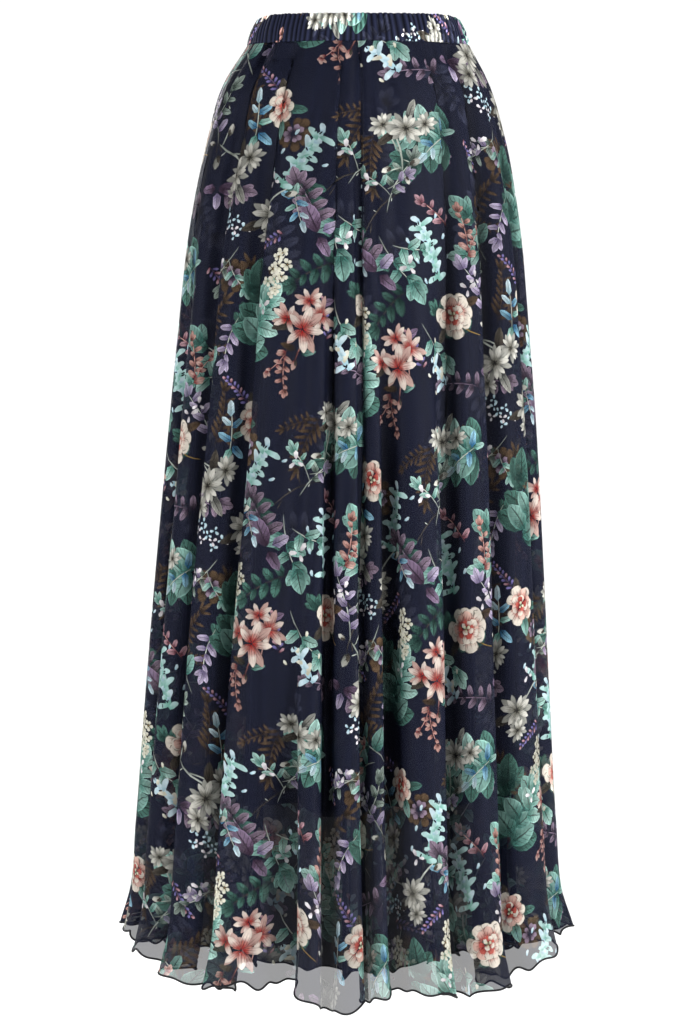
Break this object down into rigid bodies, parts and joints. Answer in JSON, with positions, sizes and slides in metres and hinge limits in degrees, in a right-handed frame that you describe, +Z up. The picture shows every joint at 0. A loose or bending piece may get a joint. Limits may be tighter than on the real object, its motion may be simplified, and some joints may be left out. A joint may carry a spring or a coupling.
{
  "type": "maxi skirt",
  "caption": "Long flared chiffon skirt in worn form, with a gathered elastic waistband, deep soft folds down to a narrow rolled hem, and a shorter plain lining.",
  "frame": {"origin": "centre of the waistband, half way up its height, where the wearer's waist holds the skirt", "axes": "+Z up along the wearer's body, front towards -Y, +X towards the wearer's left"},
  "size_m": [0.4707, 0.4004, 1.008],
  "materials": {
    "chiffon": "sheer navy polyester chiffon with a scattered print of flowers and leaves",
    "lining": "plain navy lining with a soft satin sheen"
  },
  "bodies": {
    "root": {"waistband": "chiffon", "panel_front_left": "chiffon", "panel_front_right": "chiffon", "panel_back_left": "chiffon", "panel_back_right": "chiffon", "lining_front": "lining", "lining_back": "lining"}
  },
  "joints": []
}
